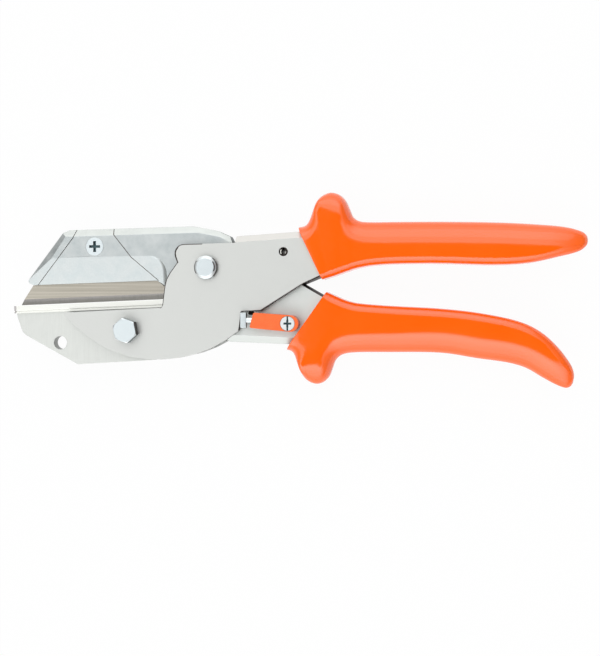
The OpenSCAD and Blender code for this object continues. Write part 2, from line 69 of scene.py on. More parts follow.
# Corners nearer than the first are one corner, and faces thinner than the second are taken out
SAME_CORNER = 0.002 * MM
THIN_FACE = 0.004 * MM
# Angles in degrees up to which edges are shaded smooth, on metal parts and on grips
SMOOTH_METAL = 30.0
SMOOTH_GRIP = 55.0


class Grain(Enum):
    """How a surface was worked, as the stretch of its grain along the tool, across it and up."""

    BLASTED = (1.0, 1.0, 1.0)
    MOTTLED = (0.8, 1.0, 1.0)
    GROUND_ACROSS = (1.0, 0.03, 0.03)
    GROUND_ALONG = (0.012, 1.0, 1.0)


class Graph:
    """A node tree, with short calls to add and join its nodes."""

    def __init__(self, tree: bpy.types.NodeTree) -> None:
        """Hold a tree.

        Args:
            tree: The tree of a material or of the world.
        """
        self.tree: bpy.types.NodeTree = tree

    def add(self, kind: str, **values: object) -> bpy.types.Node:
        """Add a node.

        Args:
            kind: The node's type name.
            values: Settings of the node, or values of its inputs with spaces as underscores.

        Returns:
            The new node.
        """
        node = self.tree.nodes.new(kind)
        for key, value in values.items():
            if hasattr(node, key):
                setattr(node, key, value)
            else:
                node.inputs[key.replace("_", " ")].default_value = value
        return node

    def join(self, source: Socket, target: Socket) -> None:
        """Link an output socket to an input socket."""
        self.tree.links.new(source, target)

    def sum(self, operation: str, first: Socket | float, second: Socket | float = 0.0) -> Socket:
        """Work out a value from one or two others.

        Args:
            operation: The operation's name.
            first: Its first value.
            second: Its second value.

        Returns:
            The result's socket.
        """
        node = self.add("ShaderNodeMath", operation=operation)
        for socket, value in zip(node.inputs, (first, second)):
            if isinstance(value, float):
                socket.default_value = value
            else:
                self.join(value, socket)
        return node.outputs["Value"]

    def ramp(self, source: Socket, start: float, end: float, low: float = 0.0, high: float = 1.0) -> Socket:
        """Let a value ease from one level to another.

        Args:
            source: The value.
            start: Where the ramp starts.
            end: Where it ends.
            low: Level before the start.
            high: Level after the end.

        Returns:
            The level's socket.
        """
        node = self.add("ShaderNodeMapRange", interpolation_type="SMOOTHSTEP", From_Min=start, From_Max=end,
                        To_Min=low, To_Max=high)
        self.join(source, node.inputs["Value"])
        return node.outputs["Result"]


class Skin(Graph):
    """A material's tree, with patterns on the piece's own coordinates."""

    def __init__(self, name: str) -> None:
        """Start a material.

        Args:
            name: The material's name.
        """
        self.material: bpy.types.Material = bpy.data.materials.new(name)
        self.material.use_nodes = True
        super().__init__(self.material.node_tree)
        self.shader: bpy.types.Node = self.tree.nodes["Principled BSDF"]

    def along(self) -> Socket:
        """Give the piece's own coordinate along the tool."""
        split = self.add("ShaderNodeSeparateXYZ")
        self.join(self.add("ShaderNodeTexCoord").outputs["Object"], split.inputs["Vector"])
        return split.outputs["X"]

    def facing_up(self) -> Socket:
        """Give how far the surface faces up or down, from 0 on a side wall to 1 on a flat."""
        split = self.add("ShaderNodeSeparateXYZ")
        self.join(self.add("ShaderNodeTexCoord").outputs["Normal"], split.inputs["Vector"])
        return self.sum("ABSOLUTE", split.outputs["Z"])

    def noise(self, stretch: Colour, scale: float, detail: float) -> Socket:
        """Add a noise pattern on the piece's own coordinates.

        Args:
            stretch: Factors on the three coordinates.
            scale: Patches in a metre.
            detail: Octaves of the noise.

        Returns:
            The pattern's value socket.
        """
        mapping = self.add("ShaderNodeMapping", Scale=stretch)
        noise = self.add("ShaderNodeTexNoise", Scale=scale, Detail=detail)
        self.join(self.add("ShaderNodeTexCoord").outputs["Object"], mapping.inputs["Vector"])
        self.join(mapping.outputs["Vector"], noise.inputs["Vector"])
        return noise.outputs["Fac"]

    def off_lines(self, lines: tuple[Line, ...]) -> Socket:
        """Give the distance from the nearest of some lines of straight pieces, seen from above.

        Args:
            lines: The lines, each with its points along the tool and across it.

        Returns:
            The distance's socket.
        """
        flat = self.add("ShaderNodeVectorMath", operation="MULTIPLY")
        flat.inputs[1].default_value = (1.0, 1.0, 0.0)
        self.join(self.add("ShaderNodeTexCoord").outputs["Object"], flat.inputs[0])
        nearest: Socket | float = 1.0
        for start, end in (pair for path in lines for pair in zip(path, path[1:])):
            way = Vector((end[0] - start[0], end[1] - start[1], 0.0))
            away = self.add("ShaderNodeVectorMath", operation="SUBTRACT")
            self.join(flat.outputs["Vector"], away.inputs[0])
            away.inputs[1].default_value = (*start, 0.0)
            share = self.add("ShaderNodeVectorMath", operation="DOT_PRODUCT")
            self.join(away.outputs["Vector"], share.inputs[0])
            share.inputs[1].default_value = way / way.length_squared
            along = self.sum("MINIMUM", self.sum("MAXIMUM", share.outputs["Value"], 0.0), 1.0)
            foot = self.add("ShaderNodeVectorMath", operation="SCALE")
            foot.inputs[0].default_value = way
            self.join(along, foot.inputs["Scale"])
            gap = self.add("ShaderNodeVectorMath", operation="DISTANCE")
            self.join(away.outputs["Vector"], gap.inputs[0])
            self.join(foot.outputs["Vector"], gap.inputs[1])
            nearest = self.sum("MINIMUM", gap.outputs["Value"], nearest)
        return nearest

    def spread(self, source: Socket, low: float, high: float) -> Socket:
        """Map the middle of a noise to a range.

        Args:
            source: The noise.
            low: Value at the noise's low end.
            high: Value at its high end.

        Returns:
            The mapped value socket.
        """
        remap = self.add("ShaderNodeMapRange", From_Min=NOISE_MIDDLE[0], From_Max=NOISE_MIDDLE[1],
                         To_Min=low, To_Max=high)
        self.join(source, remap.inputs["Value"])
        return remap.outputs["Result"]

    def blend(self, share: Socket, first: Socket | Colour, second: Socket | Colour) -> Socket:
        """Mix two colours by a share.

        Args:
            share: Share of the second colour.
            first: Colour at share 0.
            second: Colour at share 1.

        Returns:
            The colour socket.
        """
        mix = self.add("ShaderNodeMix", data_type="RGBA")
        colours = [socket for socket in mix.inputs if socket.type == "RGBA"]
        for socket, colour in zip(colours, (first, second)):
            if isinstance(colour, tuple):
                socket.default_value = (*colour, 1.0)
            else:
                self.join(colour, socket)
        self.join(share, mix.inputs["Factor"])
        return next(socket for socket in mix.outputs if socket.type == "RGBA")

    def dent(self, height: Socket, depth: float) -> None:
        """Bend the shading by a height pattern.

        Args:
            height: Pattern from 0 to 1.
            depth: Depth of the pattern in metres.
        """
        bump = self.add("ShaderNodeBump", Strength=1.0, Distance=depth)
        self.join(height, bump.inputs["Height"])
        self.join(bump.outputs["Normal"], self.shader.inputs["Normal"])


@dataclass(frozen=True)
class Metal:
    """A worked metal with a grain in its colour, gloss and relief, side walls painted darker as shade, slopes painted
    lighter or darker as highlight and shade, and lines of painted shade, or of painted highlight, at fixed places.
    """

    name: str
    dark: Colour
    light: Colour
    gloss: Span
    grain: Grain
    per_metre: float
    relief: float
    cloud_per_metre: float = 220.0
    cloudy: float = 0.5
    # Below 1, the side walls are painted darker by this share, as painted shade
    wall: float = 1.0
    # Colour of slopes, painted lighter or darker than the flats as painted highlight and shade
    painted_chamfer_light: Colour | None = None
    # Lines where shade, or on one part a highlight, is painted in, with how they fade out and their colour
    shade_and_glint_lines: tuple[Line, ...] = ()
    fade: Span = (0.2 * MM, 0.4 * MM)
    shade_and_glint_colour: Colour = (0.05, 0.04, 0.038)

    def sheen(self, skin: Skin, cloud: Socket) -> Socket:
        """Give the surface's roughness.

        Args:
            skin: The material's tree.
            cloud: The pattern that it follows.

        Returns:
            The roughness socket.
        """
        return skin.spread(cloud, *self.gloss)

    def tone(self, skin: Skin, share: Socket) -> Socket:
        """Give the surface's colour.

        Args:
            skin: The material's tree.
            share: Share of the lighter colour.

        Returns:
            The colour socket.
        """
        return skin.blend(share, self.dark, self.light)

    def material(self) -> bpy.types.Material:
        """Make the material.

        Returns:
            The new material.
        """
        skin = Skin(self.name)
        fine = skin.noise(self.grain.value, self.per_metre, detail=3.0)
        cloud = skin.noise(EVEN, self.cloud_per_metre, detail=4.0)
        patches = skin.sum("MULTIPLY", cloud, self.cloudy)
        share = skin.spread(skin.sum("ADD", patches, skin.sum("MULTIPLY", fine, 1.0 - self.cloudy)), 0.0, 1.0)
        tone = self.tone(skin, share)
        # Slopes painted lighter or darker: painted highlight and shade
        if self.painted_chamfer_light:
            tone = skin.blend(skin.ramp(skin.facing_up(), *SLOPE_TO_FLAT), self.painted_chamfer_light, tone)
        # Side walls painted darker: painted shade
        if self.wall < 1.0:
            shade = tuple(self.wall * part for part in self.dark)
            tone = skin.blend(skin.ramp(skin.facing_up(), *WALL_TO_SLOPE), shade, tone)
        # Lines of painted shade, or of painted highlight, at fixed places on the part
        if self.shade_and_glint_lines:
            tone = skin.blend(skin.ramp(skin.off_lines(self.shade_and_glint_lines), *self.fade), self.shade_and_glint_colour, tone)
        skin.join(tone, skin.shader.inputs["Base Color"])
        skin.join(self.sheen(skin, cloud), skin.shader.inputs["Roughness"])
        skin.shader.inputs["Metallic"].default_value = 1.0
        skin.dent(fine, self.relief)
        return skin.material


@dataclass(frozen=True)
class TwoToneMetal(Metal):
    """A metal whose colour and gloss change along the tool: plated at one end and ground clean towards the other on
    the arm, and with painted shade on the left end of the anvil strip.
    """

    far_dark: Colour = (0.6, 0.6, 0.6)
    far_light: Colour = (0.6, 0.6, 0.6)
    far_gloss: float = 0.56
    change: Span = (0.0, 0.01)

    def sheen(self, skin: Skin, cloud: Socket) -> Socket:
        """Give the surface's roughness, which changes along the tool."""
        far = skin.ramp(skin.along(), *self.change)
        near = skin.sum("MULTIPLY", super().sheen(skin, cloud), skin.sum("SUBTRACT", 1.0, far))
        return skin.sum("ADD", near, skin.sum("MULTIPLY", far, self.far_gloss))

    def tone(self, skin: Skin, share: Socket) -> Socket:
        """Give the surface's colour, which changes along the tool."""
        near = super().tone(skin, share)
        far = skin.blend(share, self.far_dark, self.far_light)
        return skin.blend(skin.ramp(skin.along(), *self.change), near, far)


@dataclass(frozen=True)
class Plastic:
    """A glossy plastic skin with a faint waviness, and with side walls painted darker as shade where asked."""

    name: str
    deep: Colour
    bright: Colour
    gloss: Span
    shine: float
    wave_per_metre: float
    relief: float
    # Below 1, the side walls are painted darker by this share, as painted shade
    wall: float = 1.0
    finer: float = 14.0

    def material(self) -> bpy.types.Material:
        """Make the material.

        Returns:
            The new material.
        """
        skin = Skin(self.name)
        wave = skin.noise(EVEN, self.wave_per_metre, detail=2.0)
        fine = skin.noise(EVEN, self.wave_per_metre * self.finer, detail=3.0)
        colour = skin.blend(skin.spread(wave, 0.0, 1.0), self.deep, self.bright)
        # Side walls painted darker: painted shade
        if self.wall < 1.0:
            shade = tuple(self.wall * part for part in self.deep)
            colour = skin.blend(skin.ramp(skin.facing_up(), *WALL_TO_SLOPE), shade, colour)
        skin.join(colour, skin.shader.inputs["Base Color"])
        skin.join(skin.spread(fine, *self.gloss), skin.shader.inputs["Roughness"])
        skin.shader.inputs["Specular IOR Level"].default_value = self.shine
        skin.dent(wave, self.relief)
        return skin.material


@dataclass(frozen=True)
class Edge:
    """How a piece's sharp edges are broken."""

    width: float
    segments: int = 2
    sharper_than: float = 28.0


@dataclass(frozen=True)
class Dress:
    """What one node of the part gets: its finish and its broken edges, with a slot name that is not used."""

    finish: str
    slot: str
    edge: Edge | None = None


@dataclass(frozen=True)
class Recess:
    """Where the drive recess of a screw lies, about the screw's axis and below its top."""

    reach: float
    below: Span


def select_only(piece: bpy.types.Object) -> None:
    """Select one object alone and make it the active one."""
    bpy.ops.object.select_all(action="DESELECT")
    piece.select_set(True)
    bpy.context.view_layer.objects.active = piece


def apply_modifier(piece: bpy.types.Object, name: str) -> None:
    """Apply one modifier of a piece to its mesh."""
    select_only(piece)
    bpy.ops.object.modifier_apply(modifier=name)


def merged_copy(node: str) -> bpy.types.Object:
    """Copy a node's mesh into a new piece whose faces share their corners.

    Args:
        node: Name of the node.

    Returns:
        The new piece, at the origin.
    """
    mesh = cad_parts[node].data.copy()
    mesh.materials.clear()
    piece = bpy.data.objects.new(node + "_finished", mesh)
    bpy.context.scene.collection.objects.link(piece)
    select_only(piece)
    if mesh.has_custom_normals:
        bpy.ops.mesh.customdata_custom_splitnormals_clear()
    bpy.ops.object.mode_set(mode="EDIT")
    bpy.ops.mesh.select_all(action="SELECT")
    bpy.ops.mesh.remove_doubles(threshold=SAME_CORNER)
    bpy.ops.mesh.dissolve_degenerate(threshold=THIN_FACE)
    bpy.ops.object.mode_set(mode="OBJECT")
    return piece


def normals_beside(piece: bpy.types.Object) -> dict[tuple[int, int], list[Vector]]:
    """Give the normals of the faces beside each edge of a piece, by the edge's corners."""
    beside: dict[tuple[int, int], list[Vector]] = {}
    for face in piece.data.polygons:
        for key in face.edge_keys:
            beside.setdefault(tuple(sorted(key)), []).append(face.normal)
    return beside


def crease_flats(piece: bpy.types.Object, sharper_than: float = 8.0) -> None:
    """Keep the shading of faces that lie flat apart from that of the faces beside them.

    Args:
        piece: The piece.
        sharper_than: Angle in degrees from which an edge of a flat face counts.
    """
    beside = normals_beside(piece)
    for edge in piece.data.edges:
        normals = beside.get(tuple(sorted(edge.vertices)), [])
        if len(normals) == 2 and max(abs(normal.z) for normal in normals) > TRUE_FLAT:
            if normals[0].angle(normals[1], 0.0) > math.radians(sharper_than):
                edge.use_edge_sharp = True


def weigh_mouth(piece: bpy.types.Object, sharper_than: float, reach: float) -> None:
    """Mark the sharp edges at the mouth of a grip for rounding.

    Args:
        piece: The grip.
        sharper_than: Angle in degrees from which an edge counts.
        reach: How far from the grip's left end the mouth goes.
    """
    beside = normals_beside(piece)
    end = min(vertex.co.x for vertex in piece.data.vertices) + reach
    weights = piece.data.attributes.new("bevel_weight_edge", "FLOAT", "EDGE")
    for edge in piece.data.edges:
        normals = beside.get(tuple(sorted(edge.vertices)), [])
        if len(normals) == 2 and normals[0].angle(normals[1], 0.0) > math.radians(sharper_than):
            if all(piece.data.vertices[corner].co.x < end for corner in edge.vertices):
                weights.data[edge.index].value = 1.0


def break_edges(piece: bpy.types.Object, edge: Edge, flatten: bool = True) -> None:
    """Round the sharp edges of a piece.

    Args:
        piece: The piece.
        edge: Width of the rounding and which edges get it.
        flatten: Whether every sharp edge is rounded and the flats are creased off, or else only the marked edges are
            rounded.
    """
    bevel = piece.modifiers.new("edges", "BEVEL")
    bevel.width = edge.width
    bevel.segments = edge.segments
    bevel.limit_method = "ANGLE" if flatten else "WEIGHT"
    bevel.angle_limit = math.radians(edge.sharper_than)
    bevel.use_clamp_overlap = False
    bevel.miter_outer = "MITER_ARC"
    apply_modifier(piece, "edges")
    bpy.ops.object.shade_smooth_by_angle(angle=math.radians(SMOOTH_METAL if flatten else SMOOTH_GRIP))
    if flatten:
        crease_flats(piece)
    normals = piece.modifiers.new("flats", "WEIGHTED_NORMAL")
    normals.mode = "FACE_AREA"
    normals.weight = 50
    normals.keep_sharp = True
    apply_modifier(piece, "flats")


def paint(piece: bpy.types.Object, material: bpy.types.Material) -> None:
    """Give a piece one material all over."""
    piece.data.materials.clear()
    piece.data.materials.append(material)


@dataclass
class Workshop:
    """Holds the finishes and makes each material once."""

    finishes: dict[str, Metal | Plastic]
    made: dict[str, bpy.types.Material] = field(default_factory=dict)

    def material(self, name: str) -> bpy.types.Material:
        """Give a finish's material.

        Args:
            name: The finish's key.

        Returns:
            The material, the same one each time.
        """
        if name not in self.made:
            self.made[name] = self.finishes[name].material()
        return self.made[name]


@dataclass
class SubAssembly:
    """Nodes that move together on one body."""

    body: str
    dress: dict[str, Dress]
    mouth_reach: float = 24.0 * MM

    def finish_node(self, node: str, shop: Workshop) -> bpy.types.Object:
        """Dress one node, on a copy where its edges are broken.

        Args:
            node: Name of the node.
            shop: Where the materials come from.

        Returns:
            The object that shows.
        """
        wanted = self.dress[node]
        if wanted.edge is None:
            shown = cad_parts[node]
        else:
            shown = self.shape(node, wanted.edge)
            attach(shown, self.body)
            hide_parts(node)
        paint(shown, shop.material(wanted.finish))
        self.detail(node, shown, shop)
        return shown

    def shape(self, node: str, edge: Edge) -> bpy.types.Object:
        """Make the copy of a node that shows.

        Args:
            node: Name of the node.
            edge: How its edges are broken.

        Returns:
            The new piece.
        """
        piece = merged_copy(node)
        break_edges(piece, edge)
        return piece

    def detail(self, node: str, piece: bpy.types.Object, shop: Workshop) -> None:
        """Give some faces of a piece another finish.

        Args:
            node: Name of the node.
            piece: The object that shows.
            shop: Where the materials come from.
        """

    def build(self, shop: Workshop) -> None:
        """Dress every node of the sub-assembly."""
        for node in self.dress:
            shown = self.finish_node(node, shop)
            LOG.info("%s: %s on %s, %d faces", node, shown.name, self.body, len(shown.data.polygons))

    def smooth_grip(self, node: str, edge: Edge) -> bpy.types.Object:
        """Smooth a grip's skin and break the edges of its mouth.

        Args:
            node: Name of the grip's node.
            edge: How the mouth's edge is broken.

        Returns:
            The new piece.
        """
        piece = merged_copy(node)
        weigh_mouth(piece, edge.sharper_than, self.mouth_reach)
        break_edges(piece, edge, flatten=False)
        return piece


@dataclass
class AnvilSide(SubAssembly):
    """The fixed side: frame with its cheeks, anvil, bolts, return spring and upper grip."""

    wire_levels: int = 2
    wire_smooth: float = 60.0

    def shape(self, node: str, edge: Edge) -> bpy.types.Object:
        """Make the copy of a node that shows, smooth where it is the grip or the spring."""
        if node == "upper_grip":
            return self.smooth_grip(node, edge)
        if node == "return_spring":
            return self.smooth_wire(node)
        return super().shape(node, edge)

    def smooth_wire(self, node: str) -> bpy.types.Object:
        """Round the six-sided wire of the spring.

        Args:
            node: Name of the spring's node.

        Returns:
            The new piece.
        """
        piece = merged_copy(node)
        bpy.ops.object.mode_set(mode="EDIT")
        bpy.ops.mesh.select_all(action="SELECT")
        bpy.ops.mesh.tris_convert_to_quads()
        bpy.ops.object.mode_set(mode="OBJECT")
        round_wire = piece.modifiers.new("round", "SUBSURF")
        round_wire.levels = round_wire.render_levels = self.wire_levels
        apply_modifier(piece, "round")
        bpy.ops.object.shade_smooth_by_angle(angle=math.radians(self.wire_smooth))
        return piece


@dataclass
class BladeSide(SubAssembly):
    """The moving side: arm with the clamped blade, lower grip and the latch's screw."""

    recesses: dict[str, Recess] = field(default_factory=dict)
    edge_lean: Span = (-0.7, -0.2)
    edge_rise: float = 0.7

    def shape(self, node: str, edge: Edge) -> bpy.types.Object:
        """Make the copy of a node that shows, smooth where it is the grip."""
        if node == "lower_grip":
            return self.smooth_grip(node, edge)
        return super().shape(node, edge)

    def detail(self, node: str, piece: bpy.types.Object, shop: Workshop) -> None:
        """Give the ground cutting edge its darker finish, and paint shade into the screws' recesses."""
        if node == "blade":
            piece.data.materials.append(shop.material("cutting_edge"))
            for face in piece.data.polygons:
                leans = self.edge_lean[0] < face.normal.y < self.edge_lean[1]
                if leans and abs(face.normal.z) > self.edge_rise:
                    face.material_index = 1
        if node in self.recesses:
            piece.data.materials.append(shop.material("recess"))
            self.shade_recess(node, piece, self.recesses[node])

    def shade_recess(self, node: str, piece: bpy.types.Object, recess: Recess) -> None:
        """Give the faces of a screw's drive recess the second material, a painted shade.

        Args:
            node: Name of the screw's node.
            piece: The piece that shows.
            recess: Where its recess lies.
        """
        low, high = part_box(node)
        axis = (Vector(low) + Vector(high)) * 0.5
        for face in piece.data.polygons:
            away = (face.center - axis).to_2d().length
            depth = high[2] - face.center.z
            if away < recess.reach and recess.below[0] < depth < recess.below[1]:
                face.material_index = 1


@dataclass
class Studio:
    """Pale floor, a white tent with soft boxes beside the tool, and the camera."""

    eye: Vector = field(default_factory=lambda: Vector((61.78, -4.725, 459.4)) * MM)
    aim: Vector = field(default_factory=lambda: Vector((4.608, -17.089, 19.4)) * MM)
    lens: float = 55.36
    sensor: float = 36.0
    clip: Span = (0.01, 20.0)
    floor_size: float = 6.0
    floor_colour: Four = (0.8, 0.8, 0.8, 1.0)
    floor_rough: float = 0.9
    floor_glow: float = 0.96
    box_size: Span = (1.3, 0.55)
    box_watts: float = 1.0
    box_places: tuple[tuple[str, Colour], ...] = (("upper_box", (0.0, 0.62, 0.5)), ("lower_box", (0.0, -0.62, 0.5)))
    over: float = 1.46
    upper_side: float = 0.1
    upper_rise: Span = (0.1, 0.8)
    lower_side: float = 0.65
    lower_fall: Span = (-0.5, -0.1)
    lower_edge: float = 0.1
    lower_edge_rise: Span = (-0.88, -0.6)
    low: float = 0.85
    low_rise: Span = (0.0, 0.5)
    left_end: float = 0.31
    left_rise: Span = (-0.8, -0.4)
    right_end: float = 0.2
    right_fall: Span = (0.15, 0.75)
    opening_along: Four = (-0.168, -0.145, 0.45, 0.65)
    opening_across: Four = (-0.6, -0.42, 0.1, 0.24)
    opening_light: float = 0.05
    least_height: float = 0.05

    def floor(self) -> None:
        """Lay the floor, white to the camera and to reflections, with the tool's shadow kept."""
        bpy.ops.object.select_all(action="DESELECT")
        bpy.ops.mesh.primitive_plane_add(size=self.floor_size, location=(0.0, 0.0, 0.0))
        plane = bpy.context.active_object
        plane.name = "floor"
        skin = Skin("pale_floor")
        skin.shader.inputs["Base Color"].default_value = self.floor_colour
        skin.shader.inputs["Roughness"].default_value = self.floor_rough
        skin.shader.inputs["Specular IOR Level"].default_value = 0.0
        glow = skin.add("ShaderNodeEmission", Color=WHITE, Strength=1.0)
        mix = skin.add("ShaderNodeMixShader")
        skin.join(skin.sum("MULTIPLY", seen_rays(skin), self.floor_glow), mix.inputs["Fac"])
        skin.join(skin.shader.outputs["BSDF"], mix.inputs[1])
        skin.join(glow.outputs["Emission"], mix.inputs[2])
        skin.join(mix.outputs["Shader"], skin.tree.nodes["Material Output"].inputs["Surface"])
        paint(plane, skin.material)

    def tent(self) -> None:
        """Light the room as a white tent: brighter beside the tool, dim at its ends and round the lens opening."""
        world = bpy.data.worlds.new("tent")
        world.use_nodes = True
        graph = Graph(world.node_tree)
        split = graph.add("ShaderNodeSeparateXYZ")
        graph.join(graph.add("ShaderNodeTexCoord").outputs["Generated"], split.inputs["Vector"])
        along, across, up = split.outputs
        above = graph.ramp(across, *self.upper_rise, 0.0, self.upper_side)
        below = graph.sum("MULTIPLY", graph.ramp(across, *self.lower_fall, self.lower_side, 0.0),
                          graph.ramp(across, *self.lower_edge_rise, self.lower_edge, 1.0))
        beside = graph.sum("ADD", graph.sum("ADD", above, below), self.over)
        wall = graph.sum("MULTIPLY", beside, graph.ramp(up, *self.low_rise, self.low, 1.0))
        left = graph.ramp(along, *self.left_rise, self.left_end, 1.0)
        right = graph.ramp(along, *self.right_fall, 1.0, self.right_end)
        height = graph.sum("MAXIMUM", up, self.least_height)
        hole_along = self.window(graph, graph.sum("DIVIDE", along, height), self.opening_along)
        hole_across = self.window(graph, graph.sum("DIVIDE", across, height), self.opening_across)
        opening = graph.ramp(graph.sum("MULTIPLY", hole_along, hole_across), 0.0, 1.0, 1.0, self.opening_light)
        light = graph.sum("MULTIPLY", graph.sum("MULTIPLY", wall, opening), graph.sum("MULTIPLY", left, right))
        room = world.node_tree.nodes["Background"]
        room.inputs["Color"].default_value = WHITE
        graph.join(light, room.inputs["Strength"])
        white = graph.add("ShaderNodeBackground", Color=WHITE, Strength=1.0)
        mix = graph.add("ShaderNodeMixShader")
        graph.join(graph.add("ShaderNodeLightPath").outputs["Is Camera Ray"], mix.inputs["Fac"])
        graph.join(room.outputs["Background"], mix.inputs[1])
        graph.join(white.outputs["Background"], mix.inputs[2])
        graph.join(mix.outputs["Shader"], world.node_tree.nodes["World Output"].inputs["Surface"])
        bpy.context.scene.world = world

    def window(self, graph: Graph, source: Socket, sides: Four) -> Socket:
        """Give 1 between two soft sides and 0 outside them.

        Args:
            graph: The world's tree.
            source: The value.
            sides: Where it starts to rise, is up, starts to fall and is down.

        Returns:
            The level's socket.
        """
        rise = graph.ramp(source, sides[0], sides[1])
        fall = graph.ramp(source, sides[2], sides[3], 1.0, 0.0)
        return graph.sum("MULTIPLY", rise, fall)

    def soft_box(self, name: str, place: Vector) -> None:
        """Hang one soft box that faces the tool.

        Args:
            name: Its name.
            place: Its middle.
        """
        light = bpy.data.lights.new(name, "AREA")
        light.shape = "RECTANGLE"
        light.size, light.size_y = self.box_size
        light.energy = self.box_watts
        lamp = bpy.data.objects.new(name, light)
        lamp.matrix_world = looking(place, self.aim, Vector((1.0, 0.0, 0.0)).cross(self.aim - place))
        bpy.context.scene.collection.objects.link(lamp)

    def camera(self) -> None:
        """Set the camera where the photograph was taken from."""
        data = bpy.data.cameras.new("photo_camera")
        data.lens = self.lens
        data.sensor_width = self.sensor
        data.clip_start, data.clip_end = self.clip
        eye = bpy.data.objects.new("photo_camera", data)
        eye.matrix_world = looking(self.eye, self.aim, Vector((0.0, 1.0, 0.0)))
        bpy.context.scene.collection.objects.link(eye)
        bpy.context.scene.camera = eye

    def build(self) -> None:
        """Set up the whole studio."""
        bpy.context.scene.view_settings.view_transform = "Standard"
        self.floor()
        self.tent()
        for name, place in self.box_places:
            self.soft_box(name, Vector(place))
        self.camera()


def seen_rays(graph: Graph) -> Socket:
    """Give 1 for camera, glossy and transmission rays, and 0 for the rest.

    Args:
        graph: The tree that asks.

    Returns:
        The value's socket.
    """
    rays = graph.add("ShaderNodeLightPath")
    seen = graph.sum("MAXIMUM", rays.outputs["Is Camera Ray"], rays.outputs["Is Glossy Ray"])
    return graph.sum("MAXIMUM", seen, rays.outputs["Is Transmission Ray"])


def looking(place: Vector, target: Vector, up: Vector) -> Matrix:
    """Turn something that looks along its own -Z from a place to a target.

    Args:
        place: Where it is.
        target: What it faces.
        up: Roughly which way its top points.

    Returns:
        Its matrix.
    """
    ahead = (target - place).normalized()
    right = ahead.cross(up).normalized()
    top = right.cross(ahead)
    turn = Matrix((right, top, -ahead)).transposed()
    return Matrix.Translation(place) @ turn.to_4x4()


def line(*points: Span) -> Line:
    """Give a line from points in millimetres."""
    return tuple((along * MM, across * MM) for along, across in points)


def arc(middle: Span, radius: float, start: float, end: float, steps: int = 6) -> Line:
    """Give an arc as a line of straight pieces.

    Args:
        middle: Its middle, in millimetres.
        radius: Its radius, in millimetres.
        start: Angle of its first end, in degrees.
        end: Angle of its other end.
        steps: How many straight pieces it has.

    Returns:
        The line.
    """
    angles = [math.radians(start + (end - start) * step / steps) for step in range(steps + 1)]
    return line(*((middle[0] + radius * math.cos(angle), middle[1] + radius * math.sin(angle)) for angle in angles))


# Lines of painted shade in the seams round the cheek and the clamp, on the arm's back edge and beside the stud,
# painted dark reflections on a facet of the anvil bolt and on the pivot's rim, and a painted highlight in the pin's
# bore, in millimetres along the tool and across it
CHEEK_SEAM_SHADE = line((-58.39, -8.14), (-57.55, -7.03), (-56.44, 1.4), (-55.61, 4.56), (-54.02, 7.41), (-50.78, 11.85),
                  (-51.63, 14.5), (-51.87, 16.07), (-51.51, 17.61), (-50.61, 18.91), (-49.29, 19.79), (-47.74, 20.12),
                  (-39.5, 20.26))
CHEEK_EAR_SHADE = line((-50.5, 12.0), (-51.35, 14.5), (-51.58, 16.07), (-51.24, 17.5), (-50.4, 18.7))
CHEEK_DIAGONAL_SHADE = line((15.0, 6.5), (5.8, 2.3), (-13.0, -9.5), (-21.5, -9.9), (-22.7, -18.2))
ARM_BACK_SHADE = line((5.6, 2.35), (18.6, -5.05))
LATCH_GAP_SHADOW = line((-18.3, -10.6), (-16.9, -10.7))
BOLT_FACET_REFLECTION = line((-68.54, -20.26), (-69.64, -14.6))
CLAMP_SEAM_SHADE = (line((-98.25, 29.2), (-99.95, 23.7), (-107.45, 14.1), (-117.85, 2.155)),
               line((-60.75, 4.05), (-72.85, 14.6), (-81.05, 24.9), (-81.55, 29.2)))
PIVOT = (-37.4, 9.715)
PIVOT_RIM_REFLECTION = (arc(PIVOT, 4.9, 145.0, 212.0), arc(PIVOT, 5.2, -48.0, 52.0), arc(PIVOT, 4.2, -22.0, 34.0))
PIN_BORE_HIGHLIGHT = line((-3.85, 15.9), (-3.85, 17.1))

# The arm and the zinc parts: side walls painted darker as shade, chamfers painted as highlight and shade, painted
# shade at the arm's back edge and beside the stud, and a painted dark reflection on a facet of the anvil bolt
ARM = TwoToneMetal(
    "mottled_zinc", (0.443, 0.484, 0.489), (0.588, 0.62, 0.62), (0.36, 0.5), Grain.MOTTLED, 2600.0, 0.006 * MM,
    cloudy=0.85, wall=0.4, painted_chamfer_light=(0.575, 0.6, 0.58), shade_and_glint_lines=(LATCH_GAP_SHADOW, ARM_BACK_SHADE), fade=(0.7 * MM, 0.9 * MM),
    shade_and_glint_colour=(0.03, 0.022, 0.02), far_dark=(0.682, 0.717, 0.694), far_light=(0.72, 0.745, 0.726), far_gloss=0.5,
    change=(-32.0 * MM, -27.0 * MM))
ZINC = Metal(
    "blue_white_zinc", (0.635, 0.7, 0.72), (0.7, 0.76, 0.78), (0.36, 0.44), Grain.BLASTED, 3000.0, 0.003 * MM,
    wall=0.4, painted_chamfer_light=(0.86, 0.9, 0.91), shade_and_glint_lines=(BOLT_FACET_REFLECTION,), fade=(0.06 * MM, 0.16 * MM))
